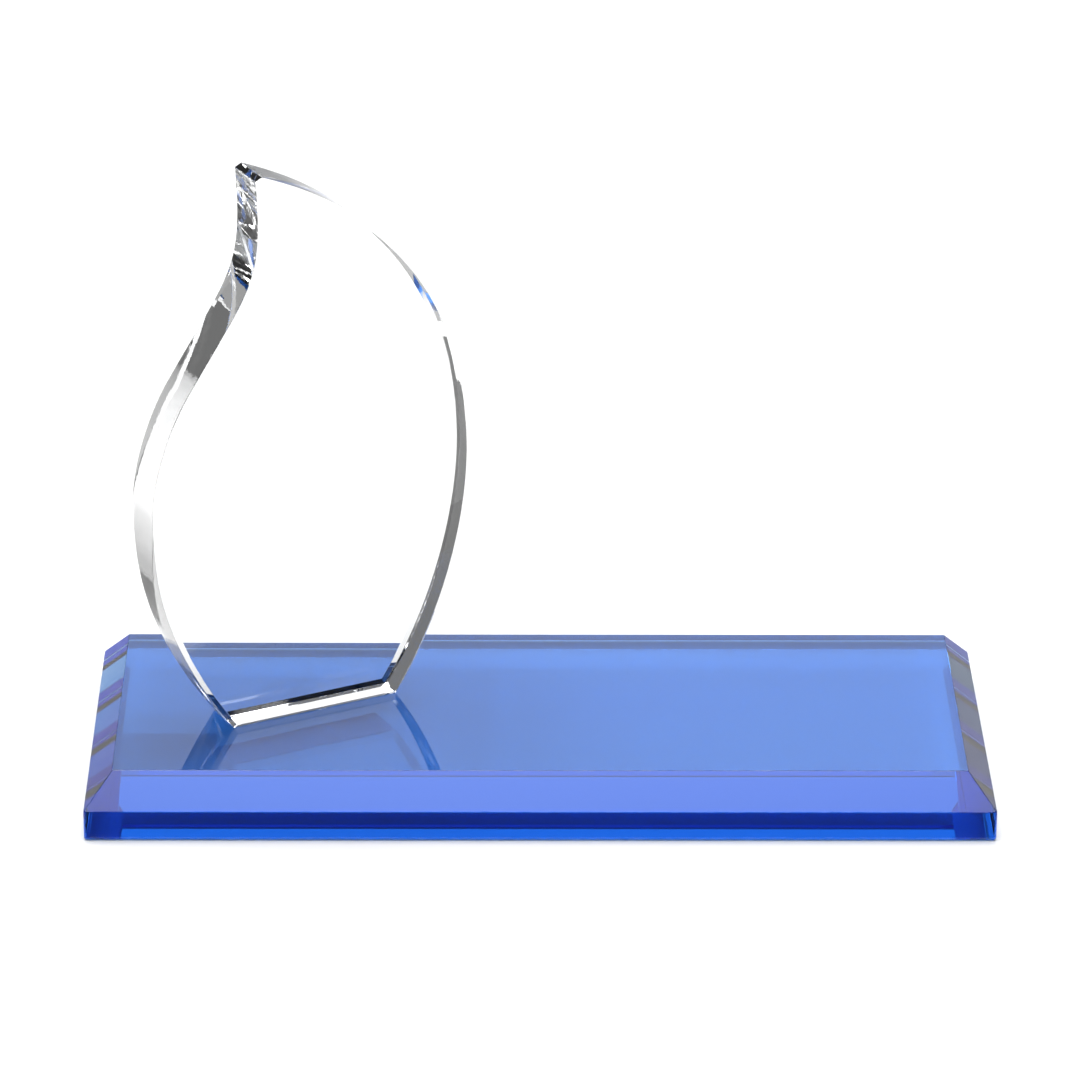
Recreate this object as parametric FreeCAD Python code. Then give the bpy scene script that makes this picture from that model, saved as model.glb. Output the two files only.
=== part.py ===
import FreeCAD, Part
import math
import os

# A presentation award: a clear, flame-shaped slab of optical crystal bonded upright
# on the left part of a long, wide-bevelled block of blue crystal.
# Millimetres, +Z up. The origin is the middle of the block's underside, the length of
# the block runs along X and its front faces -Y.

# Blue base block
BASE_LENGTH = 304.8
BASE_WIDTH = 127.0
BASE_THICKNESS = 21.5
BASE_SIDE_HEIGHT = 10.5     # upright part of each side, below the wide bevel
BASE_BEVEL_INSET = 9.4      # how far the wide bevel comes in over the top
BASE_ARRIS = 0.6            # narrow flats on the underside's edges and the upright corners

# Cured adhesive between the block and the flame's foot
BOND_THICKNESS = 0.15

# Flame slab, described in its own upright plane: u runs along the foot, z is up,
# and the front left corner of the foot is at (0, 0)
FLAME_THICKNESS = 19.0
FLAME_ARRIS = 1.5           # polished bevel round the front and back faces
FOOT_WIDTH = 61.2
TIP_HEIGHT = 196.2
TIP_U = 13.3
TIP_FLAT = (-2.4, -1.2)     # from the top of the tip down its small blunt end
LEFT_BELLY = (-28.3, 82.0)  # where the left side bulges most
WAIST = (-15.3, 123.0)      # where the left side turns from bulging to hollow
RIGHT_BELLY = (89.1, 87.0)  # where the right side bulges most

# Where the flame stands: the front left corner of its foot, and its turn about the
# vertical, the right side being further back
FLAME_CORNER = (-103.6, -21.8)
FLAME_TURN = 27.0


def prism(points, direction):
    """A straight prism over a closed polygon."""
    outline = Part.makePolygon(points + points[:1])
    return Part.Face(outline).extrude(direction)


def bevelled_section(length):
    """Half-width, height pairs of the block's section across a side of this length."""
    half = length / 2
    shoulder = half - BASE_BEVEL_INSET
    return [(-half, 0), (half, 0), (half, BASE_SIDE_HEIGHT), (shoulder, BASE_THICKNESS),
            (-shoulder, BASE_THICKNESS), (-half, BASE_SIDE_HEIGHT)]


def blue_base():
    """A flat block whose four top edges carry one wide bevel."""
    along = [FreeCAD.Vector(-BASE_LENGTH / 2, y, z) for y, z in bevelled_section(BASE_WIDTH)]
    across = [FreeCAD.Vector(x, -BASE_WIDTH / 2, z) for x, z in bevelled_section(BASE_LENGTH)]
    block = prism(along, FreeCAD.Vector(BASE_LENGTH, 0, 0)).common(
        prism(across, FreeCAD.Vector(0, BASE_WIDTH, 0)))
    arrises = [edge for edge in block.Edges
               if edge.BoundBox.ZMax < 1e-6
               or (edge.BoundBox.ZMin < 1e-6 and edge.BoundBox.XLength < 1e-6
                   and edge.BoundBox.YLength < 1e-6)]
    return block.makeChamfer(BASE_ARRIS, arrises)


def curve(*points):
    """An edge along a cubic whose first and last points are its ends."""
    cubic = Part.BezierCurve()
    cubic.setPoles([FreeCAD.Vector(u, 0, z) for u, z in points])
    return cubic.toShape()


def flame_outline():
    """The closed flame outline in the plane y = 0: an S on the left, a full bow on the right."""
    tip = (TIP_U, TIP_HEIGHT)
    tip_left = (TIP_U + TIP_FLAT[0], TIP_HEIGHT + TIP_FLAT[1])
    foot_left = (0, 0)
    foot_right = (FOOT_WIDTH, 0)
    edges = [
        Part.makeLine(FreeCAD.Vector(0, 0, 0), FreeCAD.Vector(FOOT_WIDTH, 0, 0)),
        curve(foot_right, (77, 22), (RIGHT_BELLY[0], 56), RIGHT_BELLY),
        curve(RIGHT_BELLY, (RIGHT_BELLY[0], 122), (76.5, 171.5), tip),
        Part.makeLine(FreeCAD.Vector(tip[0], 0, tip[1]), FreeCAD.Vector(tip_left[0], 0, tip_left[1])),
        curve(tip_left, (13.5, 158.5), (8.7, 159), WAIST),
        curve(WAIST, (-19.9, 116), (LEFT_BELLY[0], 98.5), LEFT_BELLY),
        curve(LEFT_BELLY, (LEFT_BELLY[0], 60), (-25.8, 35.2), foot_left),
    ]
    return Part.Wire(edges)


def stand_on_base(shape, height):
    """Turn a piece made in the flame's own plane and set it on the block."""
    shape.rotate(FreeCAD.Vector(0, 0, 0), FreeCAD.Vector(0, 0, 1), FLAME_TURN)
    shape.translate(FreeCAD.Vector(FLAME_CORNER[0], FLAME_CORNER[1], height))
    return shape


def crystal_flame():
    """A slab cut to the flame outline, with a narrow bevel all round both faces."""
    face = Part.Face(flame_outline())
    slab = face.extrude(FreeCAD.Vector(0, FLAME_THICKNESS, 0))
    slab.translate(FreeCAD.Vector(0, -FLAME_ARRIS, 0))
    front = -FLAME_ARRIS
    back = FLAME_THICKNESS - FLAME_ARRIS
    rims = [edge for edge in slab.Edges
            if edge.BoundBox.YLength < 1e-3
            and min(abs(edge.BoundBox.YMin - front), abs(edge.BoundBox.YMin - back)) < 1e-3]
    slab = slab.makeChamfer(FLAME_ARRIS, rims)
    return stand_on_base(slab, BASE_THICKNESS + BOND_THICKNESS)


def bond_layer():
    """A thin film of cured adhesive under the flat of the flame's foot."""
    film = Part.makeBox(FOOT_WIDTH, FLAME_THICKNESS - 2 * FLAME_ARRIS, BOND_THICKNESS)
    return stand_on_base(film, BASE_THICKNESS)


os.makedirs("parts", exist_ok=True)
for name, shape in (("blue_base", blue_base()),
                    ("bond_layer", bond_layer()),
                    ("crystal_flame", crystal_flame())):
    box = shape.BoundBox
    print(name, shape.isValid(), len(shape.Solids), round(shape.Volume, 1),
          [round(v, 2) for v in (box.XMin, box.YMin, box.ZMin, box.XMax, box.YMax, box.ZMax)])
    shape.exportStep("parts/" + name + ".step")
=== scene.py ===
import math

import bmesh
import bpy
from mathutils import Matrix, Vector


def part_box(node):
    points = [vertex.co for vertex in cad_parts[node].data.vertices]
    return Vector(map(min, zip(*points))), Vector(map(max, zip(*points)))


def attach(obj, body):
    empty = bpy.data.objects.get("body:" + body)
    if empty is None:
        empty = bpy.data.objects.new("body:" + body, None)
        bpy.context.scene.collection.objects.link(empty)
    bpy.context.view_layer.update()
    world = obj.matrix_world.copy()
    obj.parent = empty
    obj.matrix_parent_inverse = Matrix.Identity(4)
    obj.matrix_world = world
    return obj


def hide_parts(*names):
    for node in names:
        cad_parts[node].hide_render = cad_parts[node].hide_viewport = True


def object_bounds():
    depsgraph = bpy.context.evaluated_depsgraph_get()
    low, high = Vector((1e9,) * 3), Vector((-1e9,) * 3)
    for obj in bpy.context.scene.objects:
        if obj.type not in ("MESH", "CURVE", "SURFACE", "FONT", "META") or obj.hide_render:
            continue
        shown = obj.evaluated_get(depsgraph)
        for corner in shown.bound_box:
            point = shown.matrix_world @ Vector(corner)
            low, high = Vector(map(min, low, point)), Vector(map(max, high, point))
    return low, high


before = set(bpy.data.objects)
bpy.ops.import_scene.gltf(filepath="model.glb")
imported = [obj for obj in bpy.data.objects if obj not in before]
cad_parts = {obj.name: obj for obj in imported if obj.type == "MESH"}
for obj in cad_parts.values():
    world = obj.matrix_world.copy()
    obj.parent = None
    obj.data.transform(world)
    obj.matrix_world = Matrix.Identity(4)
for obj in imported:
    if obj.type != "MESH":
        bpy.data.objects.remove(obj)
cad_low, cad_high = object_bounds()


# ---------------------------------------------------------------- camera
# A long lens about two metres off looks down on the award by some 24 degrees, so that
# the upright edges stay nearly parallel and the top of the base shows.

MM = 0.001
CAMERA_DISTANCE = 1.9671
CAMERA_LENS = 193.8
CAMERA_AZIMUTH = 0.82
CAMERA_ELEVATION = 23.87
CAMERA_ROLL = 0.41
AIM_HEIGHT = 0.375
SENSOR_WIDTH = 36.0

scene = bpy.context.scene
heading = math.radians(CAMERA_AZIMUTH)
rise = math.radians(CAMERA_ELEVATION)
middle = (cad_low + cad_high) / 2
aim = Vector((middle.x, middle.y, cad_low.z + AIM_HEIGHT * (cad_high.z - cad_low.z)))
towards_camera = Vector((-math.sin(heading) * math.cos(rise), -math.cos(heading) * math.cos(rise),
                         math.sin(rise)))
camera_data = bpy.data.cameras.new("camera")
camera_data.lens = CAMERA_LENS
camera_data.sensor_width = SENSOR_WIDTH
camera_data.clip_end = 100.0
camera = bpy.data.objects.new("camera", camera_data)
scene.collection.objects.link(camera)
facing = towards_camera.to_track_quat("Z", "Y").to_matrix()
facing = facing @ Matrix.Rotation(math.radians(CAMERA_ROLL), 3, "Z")
camera.matrix_world = Matrix.Translation(aim + towards_camera * CAMERA_DISTANCE) @ facing.to_4x4()
scene.camera = camera
scene.view_settings.view_transform = "Standard"
scene.view_settings.exposure = 0.2
scene.view_settings.gamma = 0.9
# Light turns many corners inside thick crystal before it comes out.
scene.cycles.max_bounces = 32
scene.cycles.transmission_bounces = 32
scene.cycles.glossy_bounces = 16


# ---------------------------------------------------------------- studio light
# A dim tent with one large overhead softbox, a smaller one above the camera, a few
# round the sides and a low glow behind the table. Crystal shows only what stands round
# it, so the dark gaps between these panels draw its edges.

# Middle azimuth (0 is straight behind the award, 90 its right), middle elevation,
# half width and half height in degrees, and strength.
SOFTBOXES = (
    (0, 90, 360, 75, 0.12),     # the tent's own cloth
    (0, 90, 360, 22, 7.6),      # overhead
    (180, 59, 20, 6, 4.2),      # above the camera
    (-125, 40, 20, 10, 0.8),    # beside the camera
    (125, 40, 20, 10, 0.8),
    (-52, 59, 22, 9, 5.0),      # high behind, on the left
    (90, 45, 34, 12, 0.45),     # right
    (-87, 46, 10, 5, 1.3),      # left
    (119, 52, 8, 4, 1.3),       # front right, high
    (0, 22, 30, 9, 1.17),       # glow low behind the table
    (0, 59, 28, 9, 0.9),        # high behind
    (52, 40, 22, 8, 0.4),       # behind, on the right
)
# How far each panel's edge fades either side, in degrees.
PANEL_FADE = 3.0
CLOTH_WHITE = 1.1


def linear(hex_colour):
    """A colour written as sRGB hex, as the linear RGBA that a shader socket takes."""
    parts = [int(hex_colour[i:i + 2], 16) / 255 for i in (1, 3, 5)]
    return [p / 12.92 if p <= 0.04045 else ((p + 0.055) / 1.055) ** 2.4 for p in parts] + [1.0]


def add_node(tree, kind, settings=None, links=None):
    """Add a node, set its properties and sockets, and link its inputs to other nodes' outputs."""
    node = tree.nodes.new(kind)
    for name, value in (settings or {}).items():
        if isinstance(name, int) or name in node.inputs:
            node.inputs[name].default_value = value
        else:
            setattr(node, name, value)
    for name, source in (links or {}).items():
        tree.links.new(source, node.inputs[name])
    return node


world = bpy.data.worlds.new("light_tent")
scene.world = world
world.use_nodes = True
tree = world.node_tree
tree.nodes.clear()
looking = add_node(tree, "ShaderNodeTexCoord")
split = add_node(tree, "ShaderNodeSeparateXYZ", links={0: looking.outputs["Generated"]})
azimuth = add_node(tree, "ShaderNodeMath", {"operation": "ARCTAN2"},
                   {0: split.outputs["X"], 1: split.outputs["Y"]})
elevation = add_node(tree, "ShaderNodeMath", {"operation": "ARCSINE"}, {0: split.outputs["Z"]})
glow = None
for panel_azimuth, panel_elevation, half_width, half_height, strength in SOFTBOXES:
    turned = add_node(tree, "ShaderNodeMath", {"operation": "SUBTRACT", 1: math.radians(panel_azimuth)},
                      {0: azimuth.outputs[0]})
    across = add_node(tree, "ShaderNodeMath", {"operation": "WRAP", 1: math.pi, 2: -math.pi},
                      {0: turned.outputs[0]})
    above = add_node(tree, "ShaderNodeMath", {"operation": "SUBTRACT", 1: math.radians(panel_elevation)},
                     {0: elevation.outputs[0]})
    edges = []
    for offset, half in ((across, half_width), (above, half_height)):
        distance = add_node(tree, "ShaderNodeMath", {"operation": "ABSOLUTE"}, {0: offset.outputs[0]})
        edges.append(add_node(
            tree, "ShaderNodeMapRange",
            {"interpolation_type": "SMOOTHSTEP", "From Min": math.radians(half + PANEL_FADE),
             "From Max": math.radians(half - PANEL_FADE)}, {"Value": distance.outputs[0]}))
    panel = add_node(tree, "ShaderNodeMath", {"operation": "MULTIPLY"},
                     {0: edges[0].outputs[0], 1: edges[1].outputs[0]})
    sources = {0: panel.outputs[0]}
    if glow:
        sources[2] = glow.outputs[0]
    glow = add_node(tree, "ShaderNodeMath", {"operation": "MULTIPLY_ADD", 1: strength, 2: 0.0}, sources)
panels = add_node(tree, "ShaderNodeBackground", links={"Strength": glow.outputs[0]})
# Over the horizon the view ends on the tent's white cloth.
cloth = add_node(tree, "ShaderNodeBackground", {"Strength": CLOTH_WHITE})
path = add_node(tree, "ShaderNodeLightPath")
sky = add_node(tree, "ShaderNodeMixShader",
               links={0: path.outputs["Is Camera Ray"], 1: panels.outputs[0], 2: cloth.outputs[0]})
add_node(tree, "ShaderNodeOutputWorld", links={"Surface": sky.outputs[0]})


# ---------------------------------------------------------------- glowing cards (painted reflections)
# Crystal takes its edge lines from cards that stand near it. These cards are not lit paper but
# glowing panels that light nothing and show only in the crystal, so what they draw there is
# painted reflection. A dark one stands to the left. Paler ones close to the flame's sides and
# foot paint grey into the flame's inner reflections in place of the blue base. A dark strip
# lies on the table in front of the base and paints a dark reflection into the base's front.
# All are hidden from the camera.

# Name, middle and size in millimetres, the axis it faces, the strength of its painted
# glow, and whether it shows through the crystal or in reflections.
CARDS = (
    ("dark_card", (-195, 195, 250), (510, 500), "X", 0.2, "transmission"),
    ("side_card", (-12, -2, 87), (90, 126), "X", 0.6, "transmission"),
    ("left_card", (-131, -36, 36), (38, 26), "Z", 0.5, "transmission"),
    ("foot_card", (-127, -12, 22.5), (33, 34), "Z", 0.4, "transmission"),
    ("table_card", (0, -85, 0.5), (330, 40), "Z", 0.15, "glossy"),
)
# Light that goes straight through the flame meets two faces. The cards that show through
# the crystal do so only to light that has met at least three.
STRAIGHT_THROUGH = 2.5
UPRIGHT = Matrix(((0, 0, 1), (1, 0, 0), (0, 1, 0))).to_4x4()

for name, centre, size, faces, brightness, seen in CARDS:
    bpy.ops.object.select_all(action="DESELECT")
    bpy.ops.mesh.primitive_plane_add(size=MM)
    card = bpy.context.object
    card.name = name
    turn = UPRIGHT if faces == "X" else Matrix()
    card.data.transform(Matrix.Translation(Vector(centre) * MM) @ turn @ Matrix.Diagonal((*size, 1, 1)))
    material = bpy.data.materials.new(name + "_painted_glow")
    material.use_nodes = True
    tree = material.node_tree
    tree.nodes.clear()
    # Painted glow: an emission that lights nothing and shows only in the crystal.
    painted_glow = add_node(tree, "ShaderNodeEmission", {"Strength": brightness})
    if seen == "transmission":
        clear = add_node(tree, "ShaderNodeBsdfTransparent")
        path = add_node(tree, "ShaderNodeLightPath")
        bent = add_node(tree, "ShaderNodeMath", {"operation": "GREATER_THAN", 1: STRAIGHT_THROUGH},
                        {0: path.outputs["Ray Depth"]})
        painted_glow = add_node(tree, "ShaderNodeMixShader",
                         links={0: bent.outputs[0], 1: clear.outputs[0], 2: painted_glow.outputs[0]})
    add_node(tree, "ShaderNodeOutputMaterial", links={"Surface": painted_glow.outputs[0]})
    card.data.materials.append(material)
    # Each card is seen by one kind of ray only, so its glow is painted into the crystal and lights
    # nothing.
    for kind in ("camera", "diffuse", "glossy", "transmission", "shadow"):
        setattr(card, "visible_" + kind, kind == seen)


# ---------------------------------------------------------------- floor
# A wide sheet of white laminate. The cut block rests on it with a hair of air between
# them, so nearly all the light on the sheet under the block has come through the block.

FLOOR_SIZE = 40.0
AIR_GAP = 0.2 * MM

bpy.ops.object.select_all(action="DESELECT")
bpy.ops.mesh.primitive_plane_add(size=FLOOR_SIZE, location=(0, 0, cad_low.z - AIR_GAP))
floor = bpy.context.object
floor.name = "floor"
# Melamine-faced board: white, with the soft gloss of a worktop.
material = bpy.data.materials.new("satin_laminate")
material.use_nodes = True
shader = material.node_tree.nodes["Principled BSDF"]
shader.inputs["Base Color"].default_value = linear("#ededed")
shader.inputs["Roughness"].default_value = 0.12
floor.data.materials.append(material)


# ---------------------------------------------------------------- blue base
# The plinth is one long block of blue optical crystal. It is cut from a cast slab,
# ground to a wide bevel round the top and polished on every side; its underside and
# upright corners have only a narrow arris.

SIDE_HEIGHT = 10.5 * MM
BEVEL_INSET = 9.4 * MM
ARRIS = 0.6 * MM
BASE_EDGE = 0.15 * MM
FLAT_AREA = 30 * MM * MM

low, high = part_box("blue_base")
length, width, thickness = high - low
bpy.ops.object.select_all(action="DESELECT")
bpy.ops.mesh.primitive_cube_add(size=1.0, location=(0, 0, low.z + SIDE_HEIGHT / 2),
                                scale=(length, width, SIDE_HEIGHT))
base = bpy.context.object
base.name = "base"
bpy.ops.object.transform_apply(location=True, rotation=True, scale=True)
bpy.ops.object.mode_set(mode="EDIT")
bpy.ops.mesh.select_mode(type="FACE")
mesh = bmesh.from_edit_mesh(base.data)
for face in mesh.faces:
    face.select_set(face.normal.z > 0.9)
bmesh.update_edit_mesh(base.data)
bpy.ops.mesh.extrude_region_move(TRANSFORM_OT_translate={"value": (0, 0, thickness - SIDE_HEIGHT)})
bpy.ops.transform.resize(value=(1 - 2 * BEVEL_INSET / length, 1 - 2 * BEVEL_INSET / width, 1))
bpy.ops.mesh.select_all(action="DESELECT")
bpy.ops.mesh.select_mode(type="EDGE")
mesh = bmesh.from_edit_mesh(base.data)
for edge in mesh.edges:
    heights = [vertex.co.z for vertex in edge.verts]
    edge.select_set(max(heights) < low.z + SIDE_HEIGHT + ARRIS / 10 and min(heights) < low.z + ARRIS / 10)
bmesh.update_edit_mesh(base.data)
bpy.ops.mesh.bevel(offset=ARRIS, segments=1, affect="EDGES")
bpy.ops.object.mode_set(mode="OBJECT")


def polish_edges(piece, radius):
    """Round a cut piece's edges by a hair, and smooth its curved walls but not its flats."""
    bpy.ops.object.select_all(action="DESELECT")
    piece.select_set(True)
    bpy.context.view_layer.objects.active = piece
    rounding = piece.modifiers.new("rounding", "BEVEL")
    rounding.width = radius
    rounding.segments = 2
    rounding.limit_method = "ANGLE"
    rounding.angle_limit = math.radians(20)
    bpy.ops.object.modifier_apply(modifier=rounding.name)
    bpy.ops.object.shade_smooth_by_angle(angle=math.radians(10))
    bpy.ops.object.mode_set(mode="EDIT")
    bpy.ops.mesh.select_mode(type="FACE")
    mesh = bmesh.from_edit_mesh(piece.data)
    for face in mesh.faces:
        face.select_set(face.calc_area() > FLAT_AREA)
    bmesh.update_edit_mesh(piece.data)
    bpy.ops.mesh.faces_shade_flat()
    bpy.ops.object.mode_set(mode="OBJECT")


polish_edges(base, BASE_EDGE)

# Blue optical crystal, a dense cobalt-coloured glass, machine polished: mirror-smooth.
# Part of its colour is in its depth and part is a tint that light takes at each pass of
# its surface. Striae shift that tint slightly in bands some centimetres apart.
STRIAE = 60 * MM
# Absorption per metre in red, green and blue.
ABSORPTION = (30.0, 12.0, 3.0)
COLOUR_DENSITY = 45.0
material = bpy.data.materials.new("blue_optical_crystal")
material.use_nodes = True
tree = material.node_tree
shader = tree.nodes["Principled BSDF"]
shader.inputs["Roughness"].default_value = 0.0
shader.inputs["IOR"].default_value = 1.615
shader.inputs["Transmission Weight"].default_value = 1.0
place = add_node(tree, "ShaderNodeTexCoord")
striae = add_node(tree, "ShaderNodeTexNoise", {"Scale": 1 / STRIAE, "Detail": 2.0, "Roughness": 0.4},
                  {"Vector": place.outputs["Object"]})
tint = add_node(tree, "ShaderNodeMix", {"data_type": "RGBA", 6: linear("#b9d3ff"), 7: linear("#bdd7ff")},
                {0: striae.outputs[0]})
tree.links.new(tint.outputs[2], shader.inputs["Base Color"])
passed = [1 - share / COLOUR_DENSITY for share in ABSORPTION] + [1.0]
depth = add_node(tree, "ShaderNodeVolumeAbsorption", {"Color": passed, "Density": COLOUR_DENSITY})
tree.links.new(depth.outputs[0], tree.nodes["Material Output"].inputs["Volume"])
base.data.materials.append(material)
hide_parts("blue_base")
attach(base, "root")


# ---------------------------------------------------------------- adhesive film
# The flame is bonded by its foot with a film of clear, light-cured acrylic adhesive.
# It is squeezed out between the two polished faces until it is a hair thick, and stops
# just short of the foot's edges, in a line that wanders a little.

FLAME_CORNER = (-103.6 * MM, -21.8 * MM)
FLAME_TURN = math.radians(27.0)
FOOT_WIDTH = 61.2 * MM
FOOT_DEPTH = 16.0 * MM
FILM_INSET = 0.35 * MM
FILM_WANDER = 0.2 * MM
FILM_CORNER = 0.9 * MM
FILM_CLEARANCE = 0.15

film_low, film_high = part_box("bond_layer")
film_gap = FILM_CLEARANCE * (film_high.z - film_low.z)
film_thickness = film_high.z - film_low.z - 2 * film_gap
standing = Matrix.Translation((*FLAME_CORNER, 0)) @ Matrix.Rotation(FLAME_TURN, 4, "Z")
bpy.ops.object.select_all(action="DESELECT")
bpy.ops.mesh.primitive_cube_add(
    size=1.0, location=(FOOT_WIDTH / 2, FOOT_DEPTH / 2, (film_low.z + film_high.z) / 2),
    scale=(FOOT_WIDTH - 2 * FILM_INSET, FOOT_DEPTH - 2 * FILM_INSET, film_thickness))
film = bpy.context.object
film.name = "adhesive_film"
bpy.ops.object.transform_apply(location=True, rotation=True, scale=True)
bpy.ops.object.mode_set(mode="EDIT")
bpy.ops.mesh.select_mode(type="EDGE")
bpy.ops.mesh.select_all(action="DESELECT")
mesh = bmesh.from_edit_mesh(film.data)
for edge in mesh.edges:
    edge.select_set(abs(edge.verts[0].co.z - edge.verts[1].co.z) > film_gap)
bmesh.update_edit_mesh(film.data)
bpy.ops.mesh.bevel(offset=FILM_CORNER, segments=5, affect="EDGES")
bpy.ops.mesh.select_all(action="DESELECT")
mesh = bmesh.from_edit_mesh(film.data)
for edge in mesh.edges:
    edge.select_set(edge.calc_length() > FOOT_DEPTH / 2)
bmesh.update_edit_mesh(film.data)
bpy.ops.mesh.subdivide(number_cuts=30)
mesh = bmesh.from_edit_mesh(film.data)
for vertex in mesh.verts:
    x, y = vertex.co.x, vertex.co.y
    waves = math.sin(x / (1.9 * MM)) + math.sin(x / (0.83 * MM) + 2) + math.sin(y / (1.3 * MM))
    wave = FILM_WANDER * waves / 3
    vertex.co.y += wave if y > FOOT_DEPTH / 2 else -wave
bmesh.update_edit_mesh(film.data)
bpy.ops.object.mode_set(mode="OBJECT")
film.data.transform(standing)

# Light-cured acrylic adhesive, drawn as cured fairly milky: the foot over it looks
# silvery and hides the blue below. Its clouds are some millimetres across.
HAZE_CLOUD = 4 * MM
material = bpy.data.materials.new("cured_clear_adhesive")
material.use_nodes = True
tree = material.node_tree
shader = tree.nodes["Principled BSDF"]
shader.inputs["IOR"].default_value = 1.5
shader.inputs["Transmission Weight"].default_value = 0.25
place = add_node(tree, "ShaderNodeTexCoord")
cloudiness = add_node(tree, "ShaderNodeTexNoise", {"Scale": 1 / HAZE_CLOUD, "Detail": 3.0},
                      {"Vector": place.outputs["Object"]})
haze = add_node(tree, "ShaderNodeMix", {"data_type": "RGBA", 6: linear("#dfe1e3"), 7: linear("#ebedee")},
                {0: cloudiness.outputs[0]})
tree.links.new(haze.outputs[2], shader.inputs["Base Color"])
roughness = add_node(tree, "ShaderNodeMapRange", {"To Min": 0.15, "To Max": 0.3},
                     {"Value": cloudiness.outputs[0]})
tree.links.new(roughness.outputs[0], shader.inputs["Roughness"])
film.data.materials.append(material)
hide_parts("bond_layer")
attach(film, "root")


# ---------------------------------------------------------------- crystal flame
# The award itself is a flame cut from a thick plate of clear optical crystal. Its two
# faces are lapped flat, its curved side is ground and hand polished, and a polished
# bevel runs round both faces.

FLAME_THICKNESS = 19.0 * MM
FLAME_BEVEL = 1.5 * MM
FLAME_EDGE = 0.1 * MM
# Outline in the flame's own upright plane, in millimetres from the front left corner of
# its foot: anchor, handle before it, handle after it. A straight side has no handles.
OUTLINE = (
    ((0, 0), (-25.8, 35.2), None),
    ((61.2, 0), None, (77, 22)),
    ((89.1, 87), (89.1, 56), (89.1, 122)),
    ((13.3, 196.2), (76.5, 171.5), None),
    ((10.9, 195.0), None, (13.5, 158.5)),
    ((-15.3, 123), (8.7, 159), (-19.9, 116)),
    ((-28.3, 82), (-28.3, 98.5), (-28.3, 60)),
)

bpy.ops.object.select_all(action="DESELECT")
bpy.ops.curve.primitive_bezier_curve_add()
outline = bpy.context.object.data
outline.dimensions = "2D"
outline.fill_mode = "BOTH"
outline.resolution_u = 96
spline = outline.splines[0]
spline.bezier_points.add(len(OUTLINE) - 2)
spline.use_cyclic_u = True
for point, (anchor, before, after) in zip(spline.bezier_points, OUTLINE):
    point.co = (anchor[0] * MM, anchor[1] * MM, 0)
    point.handle_left_type = "FREE" if before else "VECTOR"
    point.handle_right_type = "FREE" if after else "VECTOR"
    if before:
        point.handle_left = (before[0] * MM, before[1] * MM, 0)
    if after:
        point.handle_right = (after[0] * MM, after[1] * MM, 0)
bpy.ops.object.convert(target="MESH")
flame = bpy.context.object
flame.name = "flame"
bpy.ops.object.mode_set(mode="EDIT")
bpy.ops.mesh.select_mode(type="FACE")
bpy.ops.mesh.select_all(action="SELECT")
bpy.ops.mesh.dissolve_faces()
bpy.ops.mesh.extrude_region_move(TRANSFORM_OT_translate={"value": (0, 0, -FLAME_THICKNESS)})
bpy.ops.mesh.select_mode(type="EDGE")
bpy.ops.mesh.select_all(action="SELECT")
bpy.ops.mesh.normals_make_consistent(inside=False)
bpy.ops.mesh.select_all(action="DESELECT")
mesh = bmesh.from_edit_mesh(flame.data)
for edge in mesh.edges:
    edge.select_set(abs(edge.verts[0].co.z - edge.verts[1].co.z) < FLAME_EDGE)
bmesh.update_edit_mesh(flame.data)
bpy.ops.mesh.bevel(offset=FLAME_BEVEL, segments=1, affect="EDGES")
bpy.ops.object.mode_set(mode="OBJECT")
flame_low, flame_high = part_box("crystal_flame")
lifted = Matrix.Translation((0, 0, flame_low.z)) @ standing @ Matrix.Translation((0, -FLAME_BEVEL, 0))
flame.data.transform(lifted @ Matrix.Rotation(math.radians(90), 4, "X"))
polish_edges(flame, FLAME_EDGE)

# Clear optical crystal, a white lead-free crown glass. The lapped faces are dead flat.
# The side was polished on a felt wheel by hand, which leaves slow waves a few
# millimetres long that break its reflections into streaks. They are drawn about ten
# microns high, a little stronger than on a good piece, so that they show.
POLISH_WAVE = 3.5 * MM
POLISH_HEIGHT = 0.012 * MM
faces_material = bpy.data.materials.new("clear_optical_crystal")
side_material = bpy.data.materials.new("hand_polished_crystal")
for material in (faces_material, side_material):
    material.use_nodes = True
    tree = material.node_tree
    shader = tree.nodes["Principled BSDF"]
    shader.inputs["Roughness"].default_value = 0.0
    shader.inputs["IOR"].default_value = 1.52
    shader.inputs["Transmission Weight"].default_value = 1.0
    place = add_node(tree, "ShaderNodeTexCoord")
    waves = add_node(tree, "ShaderNodeTexNoise", {"Scale": 1 / POLISH_WAVE, "Detail": 2.0},
                     {"Vector": place.outputs["Object"]})
    clarity = add_node(tree, "ShaderNodeMix",
                       {"data_type": "RGBA", 6: linear("#fdfefe"), 7: linear("#ffffff")},
                       {0: waves.outputs[0]})
    tree.links.new(clarity.outputs[2], shader.inputs["Base Color"])
    if material is side_material:
        relief = add_node(tree, "ShaderNodeBump", {"Strength": 1.0, "Distance": POLISH_HEIGHT},
                          {"Height": waves.outputs[0]})
        tree.links.new(relief.outputs[0], shader.inputs["Normal"])
    flame.data.materials.append(material)
front = standing.to_3x3() @ Vector((0, 1, 0))
for face in flame.data.polygons:
    on_side = abs(face.normal.dot(front)) < 0.5 and face.normal.z > -0.99
    face.material_index = 1 if on_side else 0
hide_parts("crystal_flame")
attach(flame, "root")
